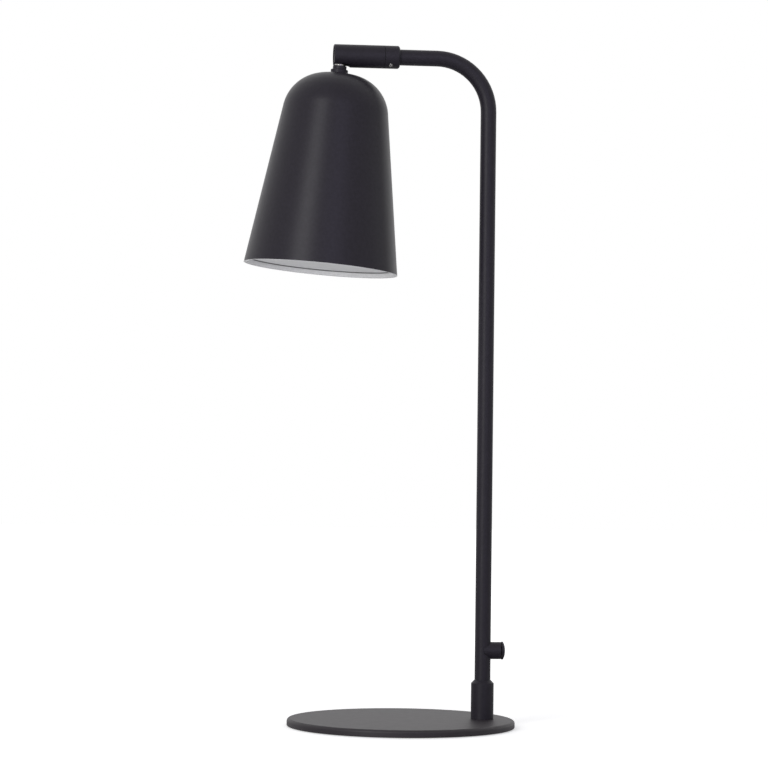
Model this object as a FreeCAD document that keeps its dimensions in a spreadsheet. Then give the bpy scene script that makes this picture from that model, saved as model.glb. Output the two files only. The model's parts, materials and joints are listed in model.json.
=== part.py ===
"""Desk lamp: a round steel foot, a bent tube stem, a swivel joint and a bell-shaped shade.

The origin is the middle of the foot's underside.  +Z is up and the arm runs towards -X.
Pieces of the joint are drawn from the tilt pivot: "along" is the distance from it towards
the stem, and "drop" is the distance below it, along the axis of the shade.
"""
import FreeCAD, Part
import math
import os
import Sketcher

doc = FreeCAD.newDocument("desk_lamp")
sheet = doc.addObject("Spreadsheet::Sheet", "Dims")

SIZES = [
    # foot
    ("foot_radius", 86.0),
    ("foot_thickness", 5.5),
    ("foot_top_round", 2.2),
    ("foot_bottom_round", 0.6),
    ("pad_radius", 76.0),
    ("pad_thickness", 1.3),
    ("pad_stand_out", 0.5),
    ("pad_gap", 0.1),
    # fits between pieces
    ("press_gap", 0.03),
    ("run_gap", 0.05),
    ("seat_gap", 0.1),
    # stem and its collar
    ("stem_offset", 62.0),
    ("tube_radius", 6.0),
    ("tube_wall", 1.1),
    ("bend_radius", 40.0),
    ("arm_height", 507.0),
    ("collar_radius", 8.6),
    ("collar_height", 29.3),
    ("collar_taper", 2.3),
    ("collar_lip", 0.35),
    ("collar_plug", 9.0),
    ("foot_screw_radius", 3.0),
    ("foot_screw_length", 11.0),
    ("foot_screw_head_radius", 6.2),
    ("foot_screw_head", 2.4),
    ("foot_screw_key", 4.0),
    # cable inlet at the back of the collar
    ("inlet_height", 17.0),
    ("grommet_radius", 3.2),
    ("grommet_bore", 2.0),
    ("grommet_stand_out", 1.4),
    ("lead_radius", 1.5),
    ("lead_turn", 3.3),
    ("lead_tail", 2.0),
    # push switch on the stem
    ("switch_height", 57.6),
    ("boss_radius", 6.5),
    ("boss_reach", 13.2),
    ("boss_floor", 7.4),
    ("boss_bore", 5.2),
    ("boss_lead_hole", 2.0),
    ("switch_length", 3.2),
    ("plunger_radius", 1.5),
    ("plunger_length", 0.5),
    ("guide_length", 2.0),
    ("button_radius", 6.75),
    ("button_stem_radius", 3.0),
    ("button_gap", 0.75),
    ("button_rim", 1.3),
    ("button_crown", 1.5),
    ("button_flat", 1.6),
    ("button_travel", 0.6),
    # swivel sleeve at the end of the arm
    ("pivot_reach", 113.6),
    ("sleeve_radius", 8.7),
    ("sleeve_front", 5.4),
    ("sleeve_back", 44.7),
    ("sleeve_chamfer", 0.6),
    ("end_recess", 0.8),
    ("end_recess_radius", 7.4),
    ("seam_along", 33.05),
    ("seam_gap", 0.2),
    ("collar_wall", 3.5),
    ("rear_chamfer", 1.0),
    ("grub_along", 37.7),
    ("grub_angle", 36.0),
    ("grub_radius", 1.5),
    ("grub_key", 1.5),
    ("grub_key_depth", 1.3),
    ("spindle_radius", 4.0),
    ("spindle_bore", 2.5),
    ("spindle_tip", 20.0),
    ("cavity_radius", 6.7),
    ("cavity_end", 9.6),
    ("bush_length", 4.0),
    ("thrust_washer", 1.0),
    ("spring_washer", 1.4),
    ("spring_plate", 0.6),
    ("lock_nut", 4.6),
    ("lock_nut_flats", 11.0),
    ("stop_radius", 5.4),
    ("stop_pin_radius", 0.6),
    ("stop_pin_depth", 2.0),
    ("stop_pin_reach", 1.0),
    ("stop_groove_depth", 1.4),
    ("stop_spare", 2.0),
    ("swivel_limit", 90.0),
    # tilt knuckle in the sleeve
    ("slot_width", 10.8),
    ("slot_roof", 6.3),
    ("slot_end", 7.1),
    ("slot_corner", 2.7),
    ("lead_way_radius", 2.4),
    ("tilt_pin_radius", 2.0),
    ("tilt_pin_skin", 1.0),
    ("tilt_head_radius", 3.4),
    ("tilt_head_floor", 6.3),
    ("tilt_head", 1.4),
    ("tilt_key", 3.0),
    ("tilt_washer", 0.6),
    ("tilt_washer_radius", 4.2),
    ("knuckle_radius", 4.9),
    ("knuckle_crown", 5.3),
    ("knuckle_waist", 5.6),
    ("knuckle_shoulder", 8.0),
    ("thread_radius", 4.0),
    ("thread_end", 24.0),
    ("wire_bore", 1.9),
    ("wire_exit_drop", 6.1),
    ("wire_exit_radius", 2.1),
    # neck and shade
    ("shade_tilt", 4.7),
    ("neck_radius", 5.2),
    ("neck_length", 2.8),
    ("flange_radius", 6.6),
    ("flange_thickness", 3.07),
    ("flange_chamfer", 0.3),
    ("crown_radius", 82.0),
    ("shoulder_radius", 31.5),
    ("cone_angle", 8.6),
    ("mouth_radius", 58.3),
    ("mouth_drop", 162.8),
    ("shade_wall", 1.2),
    # inside the shade
    ("lock_washer", 1.0),
    ("lock_washer_radius", 6.5),
    ("coupling_length", 18.0),
    ("coupling_flats", 13.0),
    ("carrier_bore", 2.5),
    ("carrier_end", 121.0),
    ("sink_drop", 112.0),
    ("sink_radius", 45.0),
    ("sink_plate", 3.0),
    ("sink_hub_radius", 9.0),
    ("fin_height", 14.0),
    ("fin_thickness", 1.6),
    ("fin_start", 14.0),
    ("fin_inset", 1.0),
    ("fin_count", 12),
    ("carrier_nut", 3.0),
    ("board_radius", 40.0),
    ("board_hole", 9.0),
    ("board_edge", 1.0),
    ("board_thickness", 1.6),
    ("chip_ring", 27.0),
    ("chip_length", 3.5),
    ("chip_width", 2.8),
    ("chip_height", 0.7),
    ("chip_count", 18),
    ("board_screw_ring", 35.5),
    ("board_screw_angle", 30.0),
    ("board_screw_head_radius", 2.6),
    ("board_screw_head", 1.4),
    ("board_screw_shank", 1.4),
    ("board_screw_length", 3.6),
    ("board_screw_count", 3),
    ("reflector_wall", 0.9),
    ("reflector_top_radius", 42.0),
    ("reflector_band", 12.0),
    ("reflector_set_back", 0.15),
    ("diffuser_recess", 4.0),
    ("diffuser_thickness", 2.2),
    ("diffuser_gap", 0.3),
    ("diffuser_shelf", 1.6),
    ("ring_wire", 0.35),
]


class Size:
    """A length that keeps both its number and the formula that gives it in the sheet."""

    def __init__(self, value, text):
        self.value = value
        self.text = text

    def __add__(self, other):
        other = size(other)
        return Size(self.value + other.value, "(%s + %s)" % (self.text, other.text))

    def __sub__(self, other):
        other = size(other)
        return Size(self.value - other.value, "(%s - %s)" % (self.text, other.text))

    def __mul__(self, other):
        other = size(other)
        return Size(self.value * other.value, "(%s * %s)" % (self.text, other.text))

    def __truediv__(self, other):
        other = size(other)
        return Size(self.value / other.value, "(%s / %s)" % (self.text, other.text))

    def __neg__(self):
        return Size(-self.value, "(-1 * %s)" % self.text)


def size(value):
    """A plain number as a Size; a Size stays as it is."""
    return value if isinstance(value, Size) else Size(value, repr(float(value)))


def sine(angle):
    return Size(math.sin(math.radians(angle.value)), "sin(%s * 1 deg)" % angle.text)


def cosine(angle):
    return Size(math.cos(math.radians(angle.value)), "cos(%s * 1 deg)" % angle.text)


def tangent(angle):
    return Size(math.tan(math.radians(angle.value)), "tan(%s * 1 deg)" % angle.text)


def root(term):
    return Size(math.sqrt(term.value), "sqrt(%s)" % term.text)


class Dims:
    """The sheet's sizes by name."""


d = Dims()
for row, (alias, number) in enumerate(SIZES, 1):
    cell = "A%d" % row
    sheet.set(cell, str(number))
    sheet.setAlias(cell, alias)
    setattr(d, alias, Size(number, "Dims." + alias))
doc.recompute()

parts = []
VECTOR = FreeCAD.Vector
X_AXIS = VECTOR(1, 0, 0)
Y_AXIS = VECTOR(0, 1, 0)
Z_AXIS = VECTOR(0, 0, 1)


def bind(obj, **terms):
    """Tie properties of an object to the sheet; a double underscore stands for a dot."""
    for name, term in terms.items():
        obj.setExpression(name.replace("__", "."), size(term).text)


def place(obj, x=0.0, y=0.0, z=0.0, axis=None, angle=0.0):
    """Put an object at x, y, z, turned about axis."""
    angle = size(angle)
    turn = FreeCAD.Rotation(axis, angle.value) if axis else FreeCAD.Rotation()
    spot = VECTOR(size(x).value, size(y).value, size(z).value)
    obj.Placement = FreeCAD.Placement(spot, turn)
    bind(obj, Placement__Base__x=x, Placement__Base__y=y, Placement__Base__z=z)
    if axis:
        bind(obj, Placement__Rotation__Angle=angle)
    return obj


def keep(obj, label):
    """Make an object one of the lamp's pieces."""
    obj.Label = label
    parts.append(obj)
    return obj


def new_body(label):
    body = doc.addObject("PartDesign::Body", label + "_body")
    return keep(body, label)


def new_sketch(body, plane, lift=0.0):
    """An empty sketch on one of the body's own planes, lifted along that plane's normal."""
    sketch = body.newObject("Sketcher::SketchObject", body.Name + "_sketch")
    support = [item for item in body.Origin.OriginFeatures if item.Role == plane][0]
    sketch.AttachmentSupport = [(support, "")]
    sketch.MapMode = "FlatFace"
    bind(sketch, AttachmentOffset__Base__z=lift)
    return sketch


def pin_point(sketch, edge, end, x, y):
    """Hold one end of an edge at x, y from the sketch's origin."""
    for kind, term in (("DistanceX", size(x)), ("DistanceY", size(y))):
        held = Sketcher.Constraint(kind, -1, 1, edge, end, term.value)
        index = sketch.addConstraint(held)
        sketch.setExpression("Constraints[%d]" % index, term.text)


def arc_between(start, end, radius, turn):
    """The short arc from start to end; turn is 1 for anticlockwise and -1 for clockwise."""
    chord = end - start
    rise = math.sqrt(max(radius * radius - chord.Length * chord.Length / 4, 0))
    side = VECTOR(-chord.y, chord.x, 0).normalize()
    centre = (start + end) * 0.5 + side * (rise * turn)
    first, last = (start, end) if turn > 0 else (end, start)
    from_angle = math.atan2(first.y - centre.y, first.x - centre.x)
    to_angle = math.atan2(last.y - centre.y, last.x - centre.x)
    return Part.ArcOfCircle(Part.Circle(centre, Z_AXIS, radius), from_angle, to_angle)


def outline(body, plane, points, lift=0.0):
    """A closed outline. A point is (x, y), or (x, y, radius, turn) where an arc starts."""
    sketch = new_sketch(body, plane, lift)
    ends = []
    spots = [VECTOR(size(point[0]).value, size(point[1]).value, 0) for point in points]
    for index, point in enumerate(points):
        start = spots[index]
        end = spots[(index + 1) % len(points)]
        if len(point) == 2:
            sketch.addGeometry(Part.LineSegment(start, end), False)
            ends.append((1, 2))
            continue
        radius, turn = size(point[2]), point[3]
        sketch.addGeometry(arc_between(start, end, radius.value, turn), False)
        ends.append((1, 2) if turn > 0 else (2, 1))
        held = sketch.addConstraint(Sketcher.Constraint("Radius", index, radius.value))
        sketch.setExpression("Constraints[%d]" % held, radius.text)
    for index, point in enumerate(points):
        before = index - 1 if index else len(points) - 1
        sketch.addConstraint(Sketcher.Constraint(
            "Coincident", before, ends[before][1], index, ends[index][0]))
        pin_point(sketch, index, ends[index][0], point[0], point[1])
    return sketch


def circles(body, plane, rounds, lift=0.0):
    """A sketch of circles, each given as (x, y, radius)."""
    sketch = new_sketch(body, plane, lift)
    for index, (x, y, radius) in enumerate(rounds):
        centre = VECTOR(size(x).value, size(y).value, 0)
        circle = Part.Circle(centre, Z_AXIS, size(radius).value)
        sketch.addGeometry(circle, False)
        pin_point(sketch, index, 3, x, y)
        held = sketch.addConstraint(Sketcher.Constraint("Radius", index, size(radius).value))
        sketch.setExpression("Constraints[%d]" % held, size(radius).text)
    return sketch


def hexagon(body, plane, flats, lift=0.0):
    """A hexagon centred on the origin, with the given distance across its flats."""
    reach = size(flats) / math.sqrt(3)
    corners = []
    for step in range(6):
        corners.append((reach * math.cos(math.radians(60 * step)),
                        reach * math.sin(math.radians(60 * step))))
    return outline(body, plane, corners, lift)


def feature(body, kind, sketch):
    """Add a PartDesign feature that reads one sketch."""
    made = body.newObject("PartDesign::" + kind, body.Name + "_" + kind)
    made.Profile = sketch
    sketch.Visibility = False
    return made


def revolve(body, sketch, axis="V_Axis"):
    made = feature(body, "Revolution", sketch)
    made.ReferenceAxis = (sketch, [axis])
    made.Angle = 360
    doc.recompute()
    return made


def pad(body, sketch, length):
    made = feature(body, "Pad", sketch)
    bind(made, Length=length)
    doc.recompute()
    return made


def pocket(body, sketch, length=None, backwards=False, both_ways=False):
    """Cut along the sketch's normal: a depth, or through all when there is no length."""
    before = body.Shape.Volume
    made = feature(body, "Pocket", sketch)
    made.Reversed = backwards
    if length is None:
        made.Type = "ThroughAll"
        if both_ways:
            made.SideType = "Symmetric"
    else:
        bind(made, Length=length)
    doc.recompute()
    if body.Shape.Volume >= before:
        raise RuntimeError(body.Label + ": a pocket cut nothing")
    return made


def turned(label, points, axis="V_Axis", plane="XZ_Plane"):
    """A body made by turning one outline."""
    body = new_body(label)
    revolve(body, outline(body, plane, points), axis)
    return body


def ring_points(inner, outer, low, high):
    """The outline of a plain ring about the upright axis."""
    return [(inner, low), (outer, low), (outer, high), (inner, high)]


def sleeve_points(inner, outer, near, far):
    """The outline of a plain ring about the sleeve's axis."""
    return [(near, inner), (far, inner), (far, outer), (near, outer)]


plate_top = d.pad_stand_out + d.foot_thickness
pad_top = d.pad_thickness
pivot_x = d.stem_offset - d.pivot_reach


def on_stem(obj, height):
    return place(obj, d.stem_offset, 0.0, height)


def on_pivot(obj):
    return place(obj, pivot_x, 0.0, d.arm_height)


def on_shade(obj):
    """Hang a piece drawn along the shade's axis from the pivot, at the shade's tilt."""
    return place(obj, pivot_x, 0.0, d.arm_height, Y_AXIS, d.shade_tilt)


def make_foot():
    head_top = pad_top + d.seat_gap + d.foot_screw_head
    edge_x = d.foot_radius
    low = d.pad_stand_out
    recess = d.pad_radius + d.pad_gap
    plate = turned("base_plate", [
        (0.0, pad_top),
        (recess, pad_top),
        (recess, low),
        (edge_x - d.foot_bottom_round, low, d.foot_bottom_round, 1),
        (edge_x, low + d.foot_bottom_round),
        (edge_x, plate_top - d.foot_top_round, d.foot_top_round, 1),
        (edge_x - d.foot_top_round, plate_top),
        (0.0, plate_top)])
    shank_hole = d.foot_screw_radius + d.seat_gap
    pocket(plate, circles(plate, "XY_Plane", [(d.stem_offset, 0.0, shank_hole)], plate_top))
    head_hole = d.foot_screw_head_radius + d.seat_gap
    pocket(plate, circles(plate, "XY_Plane", [(d.stem_offset, 0.0, head_hole)], head_top))

    pad_body = new_body("base_pad")
    pad(pad_body, circles(pad_body, "XY_Plane", [(0.0, 0.0, d.pad_radius)]), d.pad_thickness)

    tip = head_top + d.foot_screw_length
    screw = turned("stem_screw", [
        (0.0, pad_top + d.seat_gap),
        (d.foot_screw_head_radius, pad_top + d.seat_gap),
        (d.foot_screw_head_radius, head_top),
        (d.foot_screw_radius, head_top),
        (d.foot_screw_radius, tip - d.foot_screw_radius / 4),
        (d.foot_screw_radius * 0.75, tip),
        (0.0, tip)])
    key = hexagon(screw, "XY_Plane", d.foot_screw_key, pad_top + d.seat_gap)
    pocket(screw, key, d.foot_screw_head * 0.7, backwards=True)
    on_stem(screw, 0.0)


def make_stem():
    seat = d.tube_radius + d.press_gap
    thread = d.foot_screw_radius + d.press_gap
    collar = turned("base_collar", [
        (thread, 0.0),
        (d.collar_radius, 0.0),
        (d.collar_radius, d.collar_height - d.collar_taper),
        (seat + d.collar_lip, d.collar_height),
        (seat, d.collar_height),
        (seat, d.collar_plug),
        (thread, d.collar_plug)])
    inlet = circles(collar, "XZ_Plane", [(0.0, d.inlet_height, d.grommet_radius + d.press_gap)])
    pocket(collar, inlet)
    on_stem(collar, plate_top)

    foot_end = plate_top + d.collar_plug
    bend_start = d.arm_height - d.bend_radius
    arm_end = d.pivot_reach - rear_floor()
    tube = new_body("stem_tube")
    path = new_sketch(tube, "XZ_Plane")
    low = VECTOR(0, foot_end.value, 0)
    turn_in = VECTOR(0, bend_start.value, 0)
    turn_out = VECTOR(-d.bend_radius.value, d.arm_height.value, 0)
    tip = VECTOR(-arm_end.value, d.arm_height.value, 0)
    path.addGeometry(Part.LineSegment(low, turn_in), False)
    path.addGeometry(arc_between(turn_in, turn_out, d.bend_radius.value, 1), False)
    path.addGeometry(Part.LineSegment(turn_out, tip), False)
    path.addConstraint(Sketcher.Constraint("Coincident", 0, 2, 1, 1))
    path.addConstraint(Sketcher.Constraint("Coincident", 1, 2, 2, 1))
    pin_point(path, 0, 1, 0.0, foot_end)
    pin_point(path, 0, 2, 0.0, bend_start)
    pin_point(path, 2, 1, -d.bend_radius, d.arm_height)
    pin_point(path, 2, 2, -arm_end, d.arm_height)
    held = path.addConstraint(Sketcher.Constraint("Radius", 1, d.bend_radius.value))
    path.setExpression("Constraints[%d]" % held, d.bend_radius.text)
    bore = d.tube_radius - d.tube_wall
    section = circles(tube, "XY_Plane", [(0.0, 0.0, d.tube_radius), (0.0, 0.0, bore)], foot_end)
    pipe = feature(tube, "AdditivePipe", section)
    pipe.Spine = (path, ["Edge1", "Edge2", "Edge3"])
    doc.recompute()
    inlet_z = plate_top + d.inlet_height
    pocket(tube, circles(tube, "XZ_Plane", [(0.0, inlet_z, d.grommet_radius + d.press_gap)]))
    pocket(tube, circles(tube, "YZ_Plane", [(0.0, d.switch_height, d.boss_lead_hole)]),
           d.tube_radius, backwards=True)
    on_stem(tube, 0.0)

    grommet = turned("cable_grommet", [
        (d.grommet_bore, bore),
        (d.grommet_radius, bore),
        (d.grommet_radius, d.collar_radius + d.grommet_stand_out / 2),
        (d.grommet_radius - d.grommet_stand_out / 2, d.collar_radius + d.grommet_stand_out),
        (d.grommet_bore, d.collar_radius + d.grommet_stand_out)])
    place(grommet, d.stem_offset, 0.0, inlet_z, X_AXIS, -90.0)


def rear_floor():
    """Distance from the pivot to the bottom of the socket that the arm tube sits in."""
    return d.seam_along + d.seam_gap + d.collar_wall


def make_switch():
    boss = turned("switch_boss", [
        (0.0, d.boss_lead_hole),
        (d.boss_floor, d.boss_lead_hole),
        (d.boss_floor, d.boss_bore),
        (d.boss_reach, d.boss_bore),
        (d.boss_reach, d.boss_radius),
        (0.0, d.boss_radius)], "H_Axis")
    cope = circles(boss, "XY_Plane", [(0.0, 0.0, d.tube_radius + d.press_gap)], d.boss_radius * 2)
    pocket(boss, cope)
    on_stem(boss, d.switch_height)

    body_radius = d.boss_bore - d.press_gap
    switch_end = d.boss_floor + d.switch_length
    module = turned("switch_module", [
        (d.boss_floor, 0.0),
        (switch_end + d.plunger_length, 0.0),
        (switch_end + d.plunger_length, d.plunger_radius),
        (switch_end, d.plunger_radius),
        (switch_end, body_radius),
        (d.boss_floor, body_radius)], "H_Axis")
    on_stem(module, d.switch_height)

    guide = turned("button_guide", sleeve_points(
        d.button_stem_radius + d.run_gap, body_radius,
        d.boss_reach - d.guide_length, d.boss_reach), "H_Axis")
    on_stem(guide, d.switch_height)

    under = d.boss_reach + d.button_gap
    crown_edge = under + d.button_rim
    crown_top = crown_edge + d.button_crown
    crown_reach = d.button_radius - d.button_flat
    crown_radius = (crown_reach * crown_reach / d.button_crown + d.button_crown) / 2
    stem_tip = switch_end + d.plunger_length + d.button_travel + d.seat_gap
    button = turned("push_button", [
        (stem_tip, 0.0),
        (crown_top, 0.0),
        (crown_top, d.button_flat, crown_radius, 1),
        (crown_edge, d.button_radius),
        (under, d.button_radius),
        (under, d.button_stem_radius),
        (stem_tip, d.button_stem_radius)], "H_Axis")
    on_stem(button, d.switch_height)


def make_rear_collar():
    """The collar that a grub screw locks to the arm, and the spindle that it carries."""
    face = d.seam_along + d.seam_gap
    bore = d.tube_radius + d.press_gap
    thread = d.spindle_radius + d.press_gap
    lip = d.sleeve_radius - d.rear_chamfer
    collar = turned("rear_collar", [
        (face, thread),
        (rear_floor(), thread),
        (rear_floor(), bore),
        (d.sleeve_back, bore),
        (d.sleeve_back, lip),
        (d.sleeve_back - d.rear_chamfer, d.sleeve_radius),
        (face, d.sleeve_radius)], "H_Axis")
    pin_hole = circles(collar, "YZ_Plane", [(0.0, d.stop_radius, d.stop_pin_radius + d.press_gap)],
                       face)
    pocket(collar, pin_hole, d.stop_pin_depth, backwards=True)
    on_pivot(collar)
    drill = doc.addObject("Part::Cylinder", "grub_drill")
    bind(drill, Radius=d.grub_radius + d.press_gap, Height=d.sleeve_radius * 2)
    grub_place(drill, size(0.0))
    tapped = doc.addObject("Part::Cut", "rear_collar_tapped")
    tapped.Base = collar
    tapped.Tool = drill
    parts.remove(collar)
    collar.Label = "rear_collar_blank"
    keep(tapped, "rear_collar")

    screw = doc.addObject("Part::Cylinder", "grub_blank")
    bind(screw, Radius=d.grub_radius, Height=d.sleeve_radius - d.tube_radius - d.seat_gap)
    grub_place(screw, d.tube_radius)
    key = doc.addObject("Part::Prism", "grub_key_hole")
    key.Polygon = 6
    bind(key, Circumradius=d.grub_key / math.sqrt(3), Height=d.sleeve_radius)
    grub_place(key, d.sleeve_radius - d.seat_gap - d.grub_key_depth)
    grub = doc.addObject("Part::Cut", "grub_screw_cut")
    grub.Base = screw
    grub.Tool = key
    keep(grub, "grub_screw")

    spindle = turned("swivel_spindle", sleeve_points(
        d.spindle_bore, d.spindle_radius, d.spindle_tip, rear_floor()), "H_Axis")
    on_pivot(spindle)

    pin = new_body("stop_pin")
    foot = circles(pin, "YZ_Plane", [(0.0, d.stop_radius, d.stop_pin_radius)],
                   d.seam_along - d.stop_pin_reach)
    pad(pin, foot, d.stop_pin_reach + d.seam_gap + d.stop_pin_depth)
    on_pivot(pin)


def grub_place(obj, out):
    """Stand an upright primitive on the grub screw's axis, the given distance out."""
    turn = FreeCAD.Rotation(X_AXIS, 180 - d.grub_angle.value)
    obj.Placement = FreeCAD.Placement(VECTOR(0, 0, 0), turn)
    bind(obj,
         Placement__Rotation__Angle=size(180.0) - d.grub_angle,
         Placement__Base__x=pivot_x + d.grub_along,
         Placement__Base__y=-out * sine(d.grub_angle),
         Placement__Base__z=d.arm_height - out * cosine(d.grub_angle))


def make_swivel():
    """The sleeve that turns on the spindle, and what holds it there."""
    shoulder = d.cavity_end
    sleeve = turned("joint_housing", [
        (d.end_recess - d.sleeve_front, 0.0),
        (shoulder, 0.0),
        (shoulder, d.cavity_radius),
        (d.seam_along, d.cavity_radius),
        (d.seam_along, d.sleeve_radius),
        (d.sleeve_chamfer - d.sleeve_front, d.sleeve_radius),
        (-d.sleeve_front, d.sleeve_radius - d.sleeve_chamfer),
        (-d.sleeve_front, d.end_recess_radius),
        (d.end_recess - d.sleeve_front, d.end_recess_radius)], "H_Axis")
    half = d.slot_width / 2
    corner = d.slot_corner
    turn_in = d.slot_end - corner
    open_end = -d.sleeve_front - half
    slot = outline(sleeve, "XY_Plane", [
        (open_end, -half),
        (turn_in, -half, corner, 1),
        (d.slot_end, corner - half),
        (d.slot_end, half - corner, corner, 1),
        (turn_in, half),
        (open_end, half)], d.slot_roof)
    pocket(sleeve, slot)
    way = circles(sleeve, "YZ_Plane", [(0.0, 0.0, d.lead_way_radius)])
    pocket(sleeve, way, shoulder + half, backwards=True)
    blind = d.sleeve_radius - d.tilt_pin_skin
    pin_hole = circles(sleeve, "XZ_Plane", [(0.0, 0.0, d.tilt_pin_radius + d.press_gap)], blind)
    pocket(sleeve, pin_hole)
    head_hole = circles(sleeve, "XZ_Plane", [(0.0, 0.0, d.tilt_head_radius + d.press_gap)],
                        -d.tilt_head_floor)
    pocket(sleeve, head_hole)
    on_pivot(sleeve)

    bush_near = d.seam_along - d.bush_length
    bush = turned("swivel_bush", sleeve_points(
        d.spindle_radius + d.run_gap, d.cavity_radius - d.press_gap,
        bush_near, d.seam_along), "H_Axis")
    pocket(bush, stop_groove(bush), d.stop_groove_depth)
    on_pivot(bush)

    on_pivot(turned("seam_washer", sleeve_points(
        d.spindle_radius + d.run_gap, d.stop_radius - d.stop_pin_radius - d.seat_gap * 2,
        d.seam_along + d.seat_gap / 2, d.seam_along + d.seam_gap), "H_Axis"))

    inner = d.spindle_radius + d.press_gap
    washer_far = bush_near - d.run_gap
    washer_near = washer_far - d.thrust_washer
    outer = d.cavity_radius - d.seat_gap * 3
    on_pivot(turned("thrust_washer", sleeve_points(inner, outer, washer_near, washer_far), "H_Axis"))
    spring_near = washer_near - d.spring_washer
    spring_inner = inner + d.seat_gap
    on_pivot(turned("spring_washer", [
        (spring_near, spring_inner),
        (spring_near + d.spring_plate, spring_inner),
        (washer_near, outer),
        (washer_near - d.spring_plate, outer)], "H_Axis"))
    nut = new_body("lock_nut")
    flats = hexagon(nut, "YZ_Plane", d.lock_nut_flats, spring_near - d.lock_nut)
    pad(nut, flats, d.lock_nut)
    nut_hole = circles(nut, "YZ_Plane", [(0.0, 0.0, inner)], spring_near - d.lock_nut)
    pocket(nut, nut_hole, backwards=True)
    on_pivot(nut)

    screw = turned("tilt_screw", [
        (0.0, d.press_gap - blind),
        (d.tilt_pin_radius, d.press_gap - blind),
        (d.tilt_pin_radius, d.tilt_head_floor),
        (d.tilt_head_radius, d.tilt_head_floor),
        (d.tilt_head_radius, d.tilt_head_floor + d.tilt_head),
        (0.0, d.tilt_head_floor + d.tilt_head)])
    key = hexagon(screw, "XY_Plane", d.tilt_key, d.tilt_head_floor + d.tilt_head)
    pocket(screw, key, d.tilt_head)
    place(screw, pivot_x, 0.0, d.arm_height, X_AXIS, -90.0)


def stop_groove(bush):
    """A groove about the swivel's axis that lets the stop pin sweep the swivel's travel."""
    half = d.stop_pin_radius + d.seat_gap
    inner = d.stop_radius - half
    outer = d.stop_radius + half
    sweep = d.swivel_limit + d.stop_spare + half / d.stop_radius * math.degrees(1)
    turns = [sweep * share for share in (-1.0, -0.5, 0.0, 0.5, 1.0)]
    far = [(outer * sine(turn), outer * cosine(turn), outer, -1) for turn in turns]
    near = [(inner * sine(turn), inner * cosine(turn), inner, 1) for turn in reversed(turns)]
    far[-1] = far[-1][:2]
    near[-1] = near[-1][:2]
    return outline(bush, "YZ_Plane", far + near, d.seam_along)


def make_tilt_washers():
    """Two friction washers, one each side of the knuckle, as one group."""
    half = d.slot_width / 2
    rings = []
    for near in (-half, half - d.tilt_washer):
        ring = turned("tilt_washer", ring_points(
            d.tilt_pin_radius + d.press_gap, d.tilt_washer_radius, near, near + d.tilt_washer))
        parts.remove(ring)
        place(ring, pivot_x, 0.0, d.arm_height, X_AXIS, -90.0)
        rings.append(ring)
    group = doc.addObject("Part::Compound", "tilt_washer_pair")
    group.Links = rings
    keep(group, "tilt_washers")


def make_knuckle():
    """A round bar with two flats, rounded end, cross hole, threaded shank and wire bore."""
    radius = d.knuckle_radius
    half = d.slot_width / 2 - d.tilt_washer - d.run_gap
    knuckle = turned("knuckle", [
        (0.0, -d.thread_end),
        (d.thread_radius, -d.thread_end),
        (d.thread_radius, -d.knuckle_waist),
        (radius, -d.knuckle_waist),
        (radius, radius),
        (0.0, radius)])
    clear = radius * 1.25
    for side in (-1, 1):
        sides = box_points(-clear, clear, half * side, clear * side)
        flat = outline(knuckle, "XY_Plane", sides, -d.knuckle_waist)
        pocket(knuckle, flat, d.knuckle_waist + clear, backwards=True)
    round_radius = d.knuckle_crown
    round_foot = radius - round_radius
    crown = outline(knuckle, "XZ_Plane", [
        (-round_radius, round_foot, round_radius, -1),
        (0.0, radius, round_radius, -1),
        (round_radius, round_foot),
        (clear, round_foot),
        (clear, clear),
        (-clear, clear),
        (-clear, round_foot)])
    pocket(knuckle, crown, both_ways=True)
    cross = circles(knuckle, "XZ_Plane", [(0.0, 0.0, d.tilt_pin_radius + d.run_gap)])
    pocket(knuckle, cross, both_ways=True)
    bore = circles(knuckle, "XY_Plane", [(0.0, 0.0, d.wire_bore)], -d.thread_end)
    pocket(knuckle, bore, d.thread_end - d.wire_exit_drop, backwards=True)
    side_hole = circles(knuckle, "YZ_Plane", [(0.0, -d.wire_exit_drop, d.wire_exit_radius)])
    pocket(knuckle, side_hole, clear, backwards=True)
    on_shade(knuckle)


def box_points(left, right, near, far):
    return [(left, near), (right, near), (right, far), (left, far)]


flange_top = d.knuckle_shoulder + d.neck_length
shade_top = flange_top + d.flange_thickness


def make_neck():
    inner = d.thread_radius + d.press_gap
    on_shade(turned("neck_collar", ring_points(
        inner, d.neck_radius, -flange_top, -d.knuckle_shoulder)))
    on_shade(turned("shade_flange", [
        (inner, -shade_top),
        (d.flange_radius, -shade_top),
        (d.flange_radius, d.flange_chamfer - shade_top),
        (d.flange_radius, -flange_top - d.flange_chamfer),
        (d.flange_radius - d.flange_chamfer, -flange_top),
        (inner, -flange_top)]))


def cone_radius(drop):
    """Outer radius of the shade's straight flank at a distance below the pivot."""
    return d.mouth_radius - (d.mouth_drop - drop) * tangent(d.cone_angle)


def inner_radius(drop):
    """Inner radius of the same flank."""
    return cone_radius(drop) - d.shade_wall / cosine(d.cone_angle)


def crown_centre():
    """Drop of the centre of the shallow crown arc, which starts at the flange's edge."""
    seat = d.flange_radius
    return shade_top + root(d.crown_radius * d.crown_radius - seat * seat)


def shoulder_centre():
    """Centre of the arc that touches both the crown arc and the flank: radius, and drop."""
    slope = tangent(d.cone_angle)
    crown = crown_centre()
    start = cone_radius(size(0.0)) - d.shoulder_radius / cosine(d.cone_angle)
    reach = d.crown_radius - d.shoulder_radius
    scale = slope * slope + 1
    half = crown - start * slope
    rest = start * start + crown * crown - reach * reach
    drop = (half - root(half * half - scale * rest)) / scale
    return start + slope * drop, drop


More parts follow.
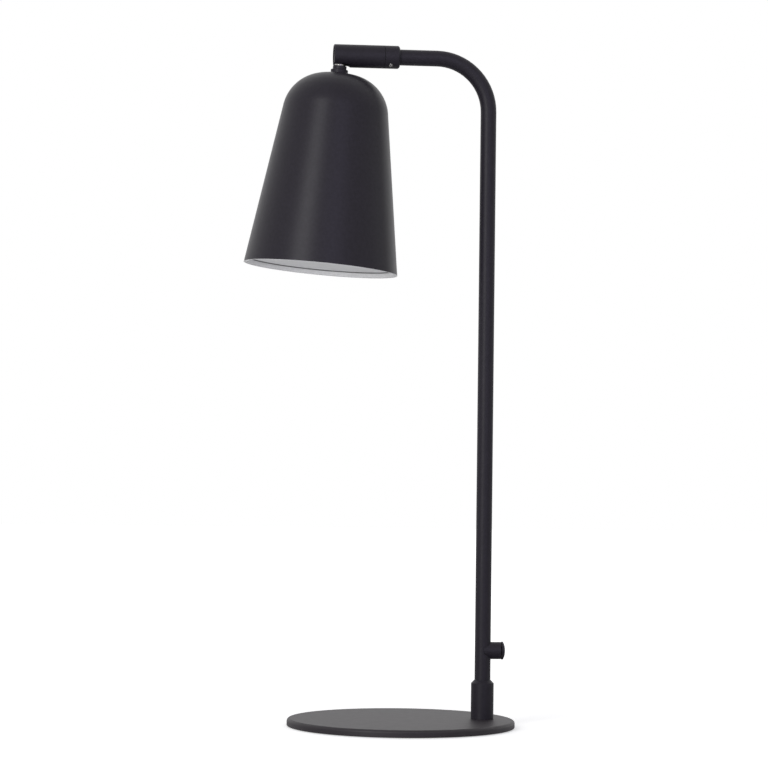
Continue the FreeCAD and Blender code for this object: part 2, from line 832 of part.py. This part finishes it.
def shade_arcs(inwards):
    """The crown and shoulder arcs, moved inwards: their radii, and where each one ends."""
    crown = crown_centre()
    centre_x, centre_drop = shoulder_centre()
    share = (d.crown_radius - inwards) / (d.crown_radius - d.shoulder_radius)
    bend = d.shoulder_radius - inwards
    joint = (centre_x * share, crown - (crown - centre_drop) * share)
    end = (centre_x + bend * cosine(d.cone_angle), centre_drop - bend * sine(d.cone_angle))
    return d.crown_radius - inwards, bend, joint, end


def make_shade():
    """A spun bell: flat seat, shallow crown, a shoulder arc and a straight flank."""
    hole = d.thread_radius + d.seat_gap
    under = shade_top + d.shade_wall
    crown, bend, joint, end = shade_arcs(size(0.0))
    thin_crown, thin_bend, thin_joint, thin_end = shade_arcs(d.shade_wall)
    rise = crown_centre() - under
    thin_seat = root(thin_crown * thin_crown - rise * rise)
    on_shade(turned("shade_shell", [
        (hole, -under),
        (thin_seat, -under, thin_crown, -1),
        (thin_joint[0], -thin_joint[1], thin_bend, -1),
        (thin_end[0], -thin_end[1]),
        (inner_radius(d.mouth_drop), -d.mouth_drop),
        (d.mouth_radius, -d.mouth_drop),
        (end[0], -end[1], bend, 1),
        (joint[0], -joint[1], crown, 1),
        (d.flange_radius, -shade_top),
        (hole, -shade_top)]))


def make_mounting():
    """What clamps the shade to the neck and carries the light unit."""
    under = shade_top + d.shade_wall
    inner = d.thread_radius + d.press_gap
    on_shade(turned("lock_washer", ring_points(
        inner, d.lock_washer_radius, -under - d.lock_washer, -under)))
    top = under + d.lock_washer
    bottom = top + d.coupling_length
    on_shade(hex_nut("coupling_nut", d.coupling_flats, inner, bottom, d.coupling_length))

    on_shade(turned("carrier_tube", ring_points(
        d.carrier_bore, d.thread_radius, -d.carrier_end, -d.thread_end - d.seat_gap)))

    plate_drop = d.sink_drop + d.sink_plate
    sink = turned("heat_sink", [
        (inner, -plate_drop),
        (d.sink_radius, -plate_drop),
        (d.sink_radius, -d.sink_drop),
        (d.sink_hub_radius, -d.sink_drop),
        (d.sink_hub_radius, d.carrier_nut - d.sink_drop),
        (inner, d.carrier_nut - d.sink_drop)])
    half = d.fin_thickness / 2
    fin_sketch = outline(sink, "XY_Plane", box_points(
        d.fin_start, d.sink_radius - d.fin_inset, -half, half), -d.sink_drop)
    fin = pad(sink, fin_sketch, d.fin_height)
    fins = sink.newObject("PartDesign::PolarPattern", "fins")
    fins.Originals = [fin]
    fins.Axis = (fin_sketch, ["N_Axis"])
    fins.Angle = 360
    bind(fins, Occurrences=d.fin_count)
    sink.Tip = fins
    doc.recompute()
    thread = screw_circles(d.board_screw_shank + d.press_gap)
    depth = d.board_screw_length - d.board_thickness + d.seat_gap
    pocket(sink, circles(sink, "XY_Plane", thread, -plate_drop), depth, backwards=True)
    on_shade(sink)

    nuts = []
    upper = d.sink_drop - d.carrier_nut
    lower = plate_drop + d.carrier_nut
    for bottom in (upper, lower):
        nut = hex_nut("carrier_nut", d.coupling_flats, inner, bottom, d.carrier_nut)
        on_shade(nut)
        parts.remove(nut)
        nuts.append(nut)
    pair = doc.addObject("Part::Compound", "carrier_nut_pair")
    pair.Links = nuts
    keep(pair, "carrier_nuts")


def hex_nut(label, flats, hole, bottom, thickness):
    nut = new_body(label)
    pad(nut, hexagon(nut, "XY_Plane", flats, -bottom), thickness)
    pocket(nut, circles(nut, "XY_Plane", [(0.0, 0.0, hole)], -bottom), backwards=True)
    return nut


def around(count, radius, start=0.0):
    """Evenly spaced spots on a circle, as (x, y, angle in degrees)."""
    spots = []
    for step in range(int(count)):
        angle = start + 360.0 * step / int(count)
        turn = math.radians(angle)
        spots.append((radius * math.cos(turn), radius * math.sin(turn), angle))
    return spots


def screw_circles(radius):
    """A circle of the given radius at each of the board's screws."""
    rounds = []
    for x, y, _ in around(d.board_screw_count.value, 1.0, d.board_screw_angle.value):
        rounds.append((d.board_screw_ring * x, d.board_screw_ring * y, radius))
    return rounds


def shade_group(label, solids):
    """Solids drawn along the shade's axis, kept as one group."""
    group = doc.addObject("Part::Feature", label + "_group")
    group.Shape = Part.makeCompound(solids)
    on_shade(group)
    return keep(group, label)


def make_light():
    board_top = d.sink_drop + d.sink_plate
    board_under = board_top + d.board_thickness
    board = turned("led_board", ring_points(d.board_hole, d.board_radius, -board_under, -board_top))
    holes = screw_circles(d.board_screw_shank + d.seat_gap)
    pocket(board, circles(board, "XY_Plane", holes, -board_top))
    on_shade(board)

    chips = []
    low = -(board_under + d.chip_height).value
    for x, y, angle in around(d.chip_count.value, d.chip_ring.value):
        chip = Part.makeBox(d.chip_length.value, d.chip_width.value, d.chip_height.value,
                            VECTOR(-d.chip_length.value / 2, -d.chip_width.value / 2, 0))
        chip.Placement = FreeCAD.Placement(VECTOR(x, y, low), FreeCAD.Rotation(Z_AXIS, angle))
        chips.append(chip)
    shade_group("led_chips", chips)

    screws = []
    head = d.board_screw_head.value
    shank = d.board_screw_length.value
    for x, y, _ in around(d.board_screw_count.value, d.board_screw_ring.value,
                          d.board_screw_angle.value):
        seat = VECTOR(x, y, -board_under.value)
        top = Part.makeCylinder(d.board_screw_head_radius.value, head, seat - Z_AXIS * head, Z_AXIS)
        pin = Part.makeCylinder(d.board_screw_shank.value, shank, seat, Z_AXIS)
        screws.append(top.fuse(pin))
    shade_group("board_screws", screws)


def make_reflector():
    """A white lining: a band against the shade's wall, a shelf and a cone up to the board."""
    board_under = d.sink_drop + d.sink_plate + d.board_thickness
    low = d.mouth_drop - d.reflector_set_back
    shelf = d.mouth_drop - d.diffuser_recess - d.diffuser_thickness
    band_top = low - d.reflector_band
    wall = d.reflector_wall
    band_low_x = inner_radius(low) - d.seat_gap
    band_top_x = inner_radius(band_top) - d.seat_gap
    shelf_x = inner_radius(shelf) - d.seat_gap - wall
    top_x = d.reflector_top_radius
    on_shade(turned("reflector", [
        (band_low_x - wall, -low),
        (band_low_x, -low),
        (band_top_x, -band_top),
        (top_x + wall, -board_under - wall),
        (top_x + wall, -board_under),
        (d.board_radius - d.board_edge, -board_under),
        (d.board_radius - d.board_edge, -board_under - wall),
        (top_x, -board_under - wall),
        (shelf_x - d.diffuser_shelf, -shelf),
        (shelf_x, -shelf)]))

    edge = inner_radius(shelf + d.diffuser_thickness) - d.seat_gap - wall - d.diffuser_gap
    under = shelf + d.diffuser_thickness
    soft = d.diffuser_thickness / 4
    on_shade(turned("diffuser", [
        (0.0, -under),
        (edge - soft, -under, soft, 1),
        (edge, soft - under),
        (edge - (d.diffuser_thickness - soft) * tangent(d.cone_angle), -shelf),
        (0.0, -shelf)]))

    wire = d.ring_wire
    ring_drop = under + wire
    ring_x = inner_radius(ring_drop) - d.seat_gap - wall - wire - d.press_gap
    ring = new_body("retaining_ring")
    revolve(ring, circles(ring, "XZ_Plane", [(ring_x, -ring_drop, wire)]))
    on_shade(ring)


def make_leads():
    """The stem's lead, from the inlet to the swivel, and the lead inside the shade's carrier."""
    stem_x = d.stem_offset.value
    inlet_z = (plate_top + d.inlet_height).value
    turn = d.lead_turn.value
    bend = d.bend_radius.value
    height = d.arm_height.value
    back = (d.collar_radius + d.grommet_stand_out / 2).value
    bevel = math.sqrt(0.5)
    start = VECTOR(stem_x, back, inlet_z)
    turn_in = VECTOR(stem_x, turn, inlet_z)
    turn_mid = VECTOR(stem_x, turn * (1 - bevel), inlet_z + turn * (1 - bevel))
    turn_out = VECTOR(stem_x, 0, inlet_z + turn)
    rise = VECTOR(stem_x, 0, height - bend)
    bend_mid = VECTOR(stem_x - bend * (1 - bevel), 0, height - bend * (1 - bevel))
    bend_out = VECTOR(stem_x - bend, 0, height)
    finish = VECTOR((pivot_x + d.cavity_end + d.lead_tail).value, 0, height)
    edges = [
        Part.LineSegment(start, turn_in).toShape(),
        Part.Arc(turn_in, turn_mid, turn_out).toShape(),
        Part.LineSegment(turn_out, rise).toShape(),
        Part.Arc(rise, bend_mid, bend_out).toShape(),
        Part.LineSegment(bend_out, finish).toShape()]
    path = Part.Wire(edges)
    ring = Part.Wire(Part.makeCircle(d.lead_radius.value, start, -Y_AXIS))
    lead = doc.addObject("Part::Feature", "stem_lead_sweep")
    lead.Shape = path.makePipeShell([ring], True, False)
    place(lead)
    keep(lead, "stem_lead")
    print("stem_lead length %.1f mm" % path.Length)

    inner = doc.addObject("Part::Cylinder", "head_lead_run")
    bind(inner, Radius=d.lead_radius, Height=d.carrier_end - d.knuckle_shoulder)
    on_shade(inner)
    drop = d.carrier_end
    bind(inner,
         Placement__Base__x=pivot_x - drop * sine(d.shade_tilt),
         Placement__Base__z=d.arm_height - drop * cosine(d.shade_tilt))
    keep(inner, "head_lead")


make_foot()
make_stem()
make_switch()
make_rear_collar()
make_swivel()
make_tilt_washers()
make_knuckle()
make_neck()
make_shade()
make_mounting()
make_light()
make_reflector()
make_leads()
doc.recompute()

for item in doc.Objects:
    if "Invalid" in item.State or "Error" in item.State:
        raise RuntimeError("failed: %s %s" % (item.Label, item.State))
for item in parts:
    if item.Shape.isNull() or not item.Shape.isValid():
        raise RuntimeError("bad shape: " + item.Label)

os.makedirs("parts", exist_ok=True)
for item in parts:
    item.Shape.exportStep("parts/%s.step" % item.Label)
    print("%-18s solids %d  volume %9.1f" % (
        item.Label, len(item.Shape.Solids), item.Shape.Volume))
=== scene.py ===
import json
import math

import bpy
from mathutils import Matrix, Vector

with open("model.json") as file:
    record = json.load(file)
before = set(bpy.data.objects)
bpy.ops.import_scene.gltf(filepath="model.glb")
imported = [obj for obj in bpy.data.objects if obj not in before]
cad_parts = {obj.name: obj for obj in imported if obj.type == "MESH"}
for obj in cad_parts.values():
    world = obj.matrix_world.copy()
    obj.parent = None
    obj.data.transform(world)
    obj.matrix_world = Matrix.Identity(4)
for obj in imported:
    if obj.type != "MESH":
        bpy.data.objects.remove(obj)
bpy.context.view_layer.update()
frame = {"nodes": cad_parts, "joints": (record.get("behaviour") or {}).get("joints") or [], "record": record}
nodes = frame["nodes"]
MM = 0.001


# ---------------------------------------------------------------- node trees

class Graph:
    """A node tree of a material or a world, with short ways to add and to join nodes."""

    def __init__(self, owner):
        owner.use_nodes = True
        self.tree = owner.node_tree

    def add(self, kind, operation=None, **inputs):
        node = self.tree.nodes.new(kind)
        if operation:
            node.operation = operation
        for name, value in inputs.items():
            node.inputs[name.replace("_", " ")].default_value = value
        return node

    def link(self, source, node, name):
        self.tree.links.new(source, node.inputs[name])

    def remap(self, source, old, new):
        """Map the range old onto the range new, held at both ends."""
        node = self.add("ShaderNodeMapRange", From_Min=old[0], From_Max=old[1],
                        To_Min=new[0], To_Max=new[1])
        self.link(source, node, "Value")
        return node


# ---------------------------------------------------------------- materials

NOISE_RANGE = (0.35, 0.65)
NOISE_ROUGHNESS = 0.55
BEVEL_SAMPLES = 4
# A Mix node has sockets for each type of data, and these are the ones for colour.
MIX_A, MIX_B, MIX_RESULT = 6, 7, 2


class Finish(Graph):
    """A node material built up around one Principled BSDF, on the piece's own coordinates."""

    def __init__(self, name, colour, rough, metallic=0.0, specular=0.5):
        self.mat = bpy.data.materials.new(name)
        super().__init__(self.mat)
        self.bsdf = self.tree.nodes["Principled BSDF"]
        self.bsdf.inputs["Base Color"].default_value = (*colour, 1.0)
        self.bsdf.inputs["Roughness"].default_value = rough
        self.bsdf.inputs["Metallic"].default_value = metallic
        self.bsdf.inputs["Specular IOR Level"].default_value = specular
        self.colour = colour
        self.rough = rough
        self.coords = self.add("ShaderNodeTexCoord").outputs["Object"]
        self.normal = None

    def noise(self, scale, detail=3.0):
        node = self.add("ShaderNodeTexNoise", Scale=scale, Detail=detail,
                        Roughness=NOISE_ROUGHNESS)
        self.link(self.coords, node, "Vector")
        return node.outputs["Fac"]

    def soften(self, radius):
        """Small broken edges, as paint and plating have."""
        node = self.add("ShaderNodeBevel", Radius=radius)
        node.samples = BEVEL_SAMPLES
        self.normal = node.outputs["Normal"]
        return self

    def bump(self, scale, detail, strength, depth):
        node = self.add("ShaderNodeBump", Strength=strength, Distance=depth)
        self.link(self.noise(scale, detail), node, "Height")
        if self.normal:
            self.link(self.normal, node, "Normal")
        self.normal = node.outputs["Normal"]
        return self

    def uneven(self, scale, amount):
        """Roughness that wanders by amount around its mean."""
        span = (self.rough - amount, self.rough + amount)
        rough = self.remap(self.noise(scale), NOISE_RANGE, span)
        self.link(rough.outputs["Result"], self.bsdf, "Roughness")
        return self

    def mottle(self, scale, amount):
        """Colour that wanders by a share of itself."""
        mix = self.add("ShaderNodeMix")
        mix.data_type = "RGBA"
        low = [c * (1 - amount) for c in self.colour]
        high = [min(c * (1 + amount), 1.0) for c in self.colour]
        mix.inputs[MIX_A].default_value = (*low, 1.0)
        mix.inputs[MIX_B].default_value = (*high, 1.0)
        share = self.remap(self.noise(scale), NOISE_RANGE, (0.0, 1.0))
        self.link(share.outputs["Result"], mix, "Factor")
        self.link(mix.outputs[MIX_RESULT], self.bsdf, "Base Color")
        return self

    def done(self):
        if self.normal:
            self.link(self.normal, self.bsdf, "Normal")
        return self.mat


def powder_coat(name, colour, rough, specular, grain, depth):
    """Matt powder coat: a fine orange peel over a still finer grain."""
    finish = Finish(name, colour, rough, specular=specular).soften(radius=0.25 * MM)
    finish.bump(scale=grain, detail=2.0, strength=0.35, depth=depth)
    finish.bump(scale=grain * 3.1, detail=1.0, strength=0.2, depth=depth * 0.4)
    finish.uneven(scale=160.0, amount=0.012)
    finish.mottle(scale=420.0, amount=0.10)
    return finish.done()


def metal(name, colour, rough):
    """Turned or plated metal with fine tool marks."""
    finish = Finish(name, colour, rough, metallic=1.0).soften(radius=0.12 * MM)
    finish.bump(scale=900.0, detail=2.0, strength=0.15, depth=0.02 * MM)
    finish.uneven(scale=700.0, amount=0.06)
    finish.mottle(scale=900.0, amount=0.06)
    return finish.done()


def plain(name, colour, rough, grain, depth, specular=0.5):
    """Sprayed, moulded or foamed surface with a faint grain."""
    finish = Finish(name, colour, rough, specular=specular).soften(radius=0.15 * MM)
    finish.bump(scale=grain, detail=2.0, strength=0.3, depth=depth)
    finish.uneven(scale=grain * 0.4, amount=0.04)
    finish.mottle(scale=grain * 0.5, amount=0.04)
    return finish.done()


# The shade's axis goes through the tilt pivot, and its mouth lies square to it.
TILT_PIVOT = next(joint["pos_m"] for joint in frame["joints"] if joint["name"] == "shade_tilt")
SHADE_TILT = math.radians(4.7)
MOUTH_DROP = 162.8 * MM
LIP_FACE = 0.1 * MM
PAINTED_EYE_DROP = 7.0 * MM
SECOND_PAINT_SPECULAR = 0.2


def two_tone(mat, colour, rough, drop, coated_above):
    """Coat the surface in a second paint, above or below a plane square to the shade's axis.

    The plane lies drop below the tilt pivot, measured along that axis.
    """
    graph = Graph(mat)
    coat = graph.add("ShaderNodeBsdfPrincipled", Base_Color=(*colour, 1.0), Roughness=rough,
                     Specular_IOR_Level=SECOND_PAINT_SPECULAR)
    axis = Vector((math.sin(SHADE_TILT), 0.0, math.cos(SHADE_TILT)))
    along = graph.add("ShaderNodeVectorMath", "DOT_PRODUCT")
    along.inputs[1].default_value = axis
    graph.link(graph.add("ShaderNodeTexCoord").outputs["Object"], along, 0)
    coated = graph.add("ShaderNodeMath", "GREATER_THAN" if coated_above else "LESS_THAN")
    coated.inputs[1].default_value = axis.dot(Vector(TILT_PIVOT)) - drop
    graph.link(along.outputs["Value"], coated, 0)
    mix = graph.add("ShaderNodeMixShader")
    graph.link(coated.outputs["Value"], mix, "Fac")
    graph.link(graph.tree.nodes["Principled BSDF"].outputs["BSDF"], mix, 1)
    graph.link(coat.outputs["BSDF"], mix, 2)
    graph.link(mix.outputs["Shader"], graph.tree.nodes["Material Output"], "Surface")


BLACK = (0.0150, 0.0128, 0.0185)
FOOT_BLACK = (0.0160, 0.0122, 0.0160)
WHITE = (0.82, 0.82, 0.82)
finishes = {
    "black_paint": powder_coat("black_paint_coat", BLACK, rough=0.45, specular=0.18,
                               grain=1500.0, depth=0.007 * MM),
    "foot_paint": powder_coat("foot_paint_coat", FOOT_BLACK, rough=0.50, specular=0.34,
                              grain=1300.0, depth=0.010 * MM),
    "shade_paint": powder_coat("shade_paint_coat", BLACK, rough=0.38, specular=0.18,
                               grain=1500.0, depth=0.007 * MM),
    "nickel_steel": metal("nickel_plate", (0.60, 0.59, 0.57), rough=0.24),
    "zinc_screw": metal("zinc_plate", (0.55, 0.55, 0.54), rough=0.34),
    "brass": metal("turned_brass", (0.72, 0.55, 0.28), rough=0.26),
    "bare_aluminium": metal("cast_aluminium", (0.77, 0.77, 0.78), rough=0.42),
    # The spring-wire ring that holds the diffuser is a real piece, but its dark colour also stands in for
    # the shade in the gap at the diffuser's edge: partly painted shade.
    "black_wire": metal("black_spring_wire_and_gap_shade", (0.24, 0.24, 0.24), rough=0.45),
    "white_paint": plain("reflector_white", WHITE, rough=0.50, grain=900.0, depth=0.02 * MM),
    "opal_diffuser": plain("opal_sheet", (0.74, 0.74, 0.75), rough=0.42,
                           grain=1400.0, depth=0.01 * MM),
    "foam_pad": plain("foam_rubber", (0.020, 0.020, 0.021), rough=0.85,
                      grain=1800.0, depth=0.12 * MM, specular=0.2),
    "black_rubber": plain("moulded_rubber", (0.018, 0.018, 0.019), rough=0.70,
                          grain=1200.0, depth=0.03 * MM, specular=0.3),
    "black_plastic": plain("moulded_plastic", (0.022, 0.022, 0.023), rough=0.45,
                           grain=1200.0, depth=0.02 * MM),
    "nylon": plain("natural_nylon", (0.75, 0.74, 0.70), rough=0.40,
                   grain=1200.0, depth=0.02 * MM),
    "board_white": plain("solder_mask", (0.80, 0.80, 0.78), rough=0.35,
                         grain=900.0, depth=0.01 * MM),
    "led_yellow": plain("phosphor_gel", (0.85, 0.70, 0.22), rough=0.25,
                        grain=900.0, depth=0.01 * MM),
    "lead_sheath": plain("lead_sheath_grey", (0.66, 0.66, 0.64), rough=0.42,
                         grain=900.0, depth=0.02 * MM),
}

# The knuckle is painted at its eye and bare metal on its shank. The shank's metal has a darker colour than
# its plating: painted shade for the shade it lies in within the sleeve's slot.
knuckle_finish_shade_darkened = metal("knuckle_metal_shade_darkened", (0.34, 0.33, 0.32), rough=0.30)
two_tone(knuckle_finish_shade_darkened, BLACK, rough=0.40, drop=PAINTED_EYE_DROP, coated_above=True)
# The end face of the shade's lip is white, like the inside.
two_tone(finishes["shade_paint"], WHITE, rough=0.50, drop=MOUTH_DROP - LIP_FACE,
         coated_above=False)

slots = {row["node"]: row["material_slot"] for row in frame["record"]["subparts"]}
for name, obj in nodes.items():
    obj.data.materials.clear()
    obj.data.materials.append(finishes[slots[name]])
nodes["knuckle"].data.materials[0] = knuckle_finish_shade_darkened


# ---------------------------------------------------------------- studio

NEUTRAL = (1.0, 1.0, 1.0)
SEEN_WHITE = 1.0
# The fill light grows from front to back, with the y part of the direction it comes from.
FILL_FRONT, FILL_BACK = 0.30, 0.75
FILL_REACH = (0.0, 0.6)
FLOOR_WHITE = 0.90
FLOOR_HALF_SIDE = 6.0
FLOOR_DROP = 0.02 * MM
# What the camera sees of the floor is lifted to white, more so further from the foot.
LIFT_REACH = (0.12, 1.2)
LIFT_NEAR_AND_FAR = (0.50, 0.85)
LAMP_AIM = Vector((-0.05, 0.0, 0.38))


def studio():
    """White surroundings that the camera and reflections see at 1, and a plainer fill."""
    world = bpy.data.worlds.new("studio")
    bpy.context.scene.world = world
    graph = Graph(world)
    rays = graph.add("ShaderNodeLightPath")
    seen = rays.outputs["Is Camera Ray"]
    for name in ("Is Glossy Ray", "Is Transmission Ray"):
        either = graph.add("ShaderNodeMath", "MAXIMUM")
        graph.link(seen, either, 0)
        graph.link(rays.outputs[name], either, 1)
        seen = either.outputs["Value"]
    direction = graph.add("ShaderNodeSeparateXYZ")
    graph.link(graph.add("ShaderNodeTexCoord").outputs["Generated"], direction, "Vector")
    fill = graph.remap(direction.outputs["Y"], FILL_REACH, (FILL_FRONT, FILL_BACK))
    level = graph.remap(seen, (0.0, 1.0), (FILL_FRONT, SEEN_WHITE))
    graph.link(fill.outputs["Result"], level, "To Min")
    back = graph.tree.nodes["Background"]
    back.inputs["Color"].default_value = (*NEUTRAL, 1.0)
    graph.link(level.outputs["Result"], back, "Strength")


def floor():
    """A pale floor that stays white in the picture and keeps the object's shadow."""
    mesh = bpy.data.meshes.new("studio_floor")
    far = FLOOR_HALF_SIDE
    mesh.from_pydata([(-far, -far, 0), (far, -far, 0), (far, far, 0), (-far, far, 0)],
                     [], [(0, 1, 2, 3)])
    obj = bpy.data.objects.new("studio_floor", mesh)
    obj.location.z = -FLOOR_DROP
    bpy.context.scene.collection.objects.link(obj)
    finish = Finish("studio_floor_white", (FLOOR_WHITE,) * 3, rough=1.0, specular=0.0)
    finish.bsdf.inputs["Emission Color"].default_value = (*NEUTRAL, 1.0)
    reach = finish.add("ShaderNodeVectorMath", "LENGTH")
    finish.link(finish.coords, reach, 0)
    level = finish.remap(reach.outputs["Value"], LIFT_REACH, LIFT_NEAR_AND_FAR)
    lift = finish.add("ShaderNodeMath", "MULTIPLY")
    finish.link(finish.add("ShaderNodeLightPath").outputs["Is Camera Ray"], lift, 0)
    finish.link(level.outputs["Result"], lift, 1)
    finish.link(lift.outputs["Value"], finish.bsdf, "Emission Strength")
    mesh.materials.append(finish.done())


def lamp(name, place, width, height, power, colour=NEUTRAL):
    """A soft box that faces the upper half of the object."""
    data = bpy.data.lights.new(name, "AREA")
    data.shape = "RECTANGLE"
    data.size = width
    data.size_y = height
    data.energy = power
    data.color = colour
    obj = bpy.data.objects.new(name, data)
    obj.location = place
    obj.rotation_euler = (LAMP_AIM - Vector(place)).to_track_quat("-Z", "Y").to_euler()
    bpy.context.scene.collection.objects.link(obj)


def camera():
    """The photograph's viewing angle, found from the outlines of the foot, stem and shade."""
    azimuth, elevation, roll = (math.radians(angle) for angle in (6.04, 1.81, 0.69))
    focal_pixels, frame_pixels = 2569.0, 768.0
    distance = 1.9448
    target = Vector((-0.01566, 0.0, 0.25844))
    sensor_width = 36.0
    ahead = Vector((math.sin(azimuth) * math.cos(elevation),
                    math.cos(azimuth) * math.cos(elevation), math.sin(elevation)))
    level = Vector((math.cos(azimuth), -math.sin(azimuth), 0.0))
    up = level.cross(ahead)
    right = level * math.cos(roll) + up * math.sin(roll)
    top = up * math.cos(roll) - level * math.sin(roll)
    data = bpy.data.cameras.new("camera")
    data.sensor_width = sensor_width
    data.lens = focal_pixels / frame_pixels * sensor_width
    obj = bpy.data.objects.new("camera", data)
    turn = Matrix((right, top, -ahead)).transposed().to_4x4()
    obj.matrix_world = Matrix.Translation(target - ahead * distance) @ turn
    bpy.context.scene.collection.objects.link(obj)
    bpy.context.scene.camera = obj


studio()
floor()
lamp("key_left", place=(-1.28, -1.72, 0.85), width=0.8, height=1.6, power=25.0)
lamp("fill_front", place=(0.40, -2.15, 0.75), width=1.0, height=1.8, power=7.5,
     colour=(0.68, 0.66, 1.0))
camera()

bpy.context.scene.view_settings.view_transform = "Standard"
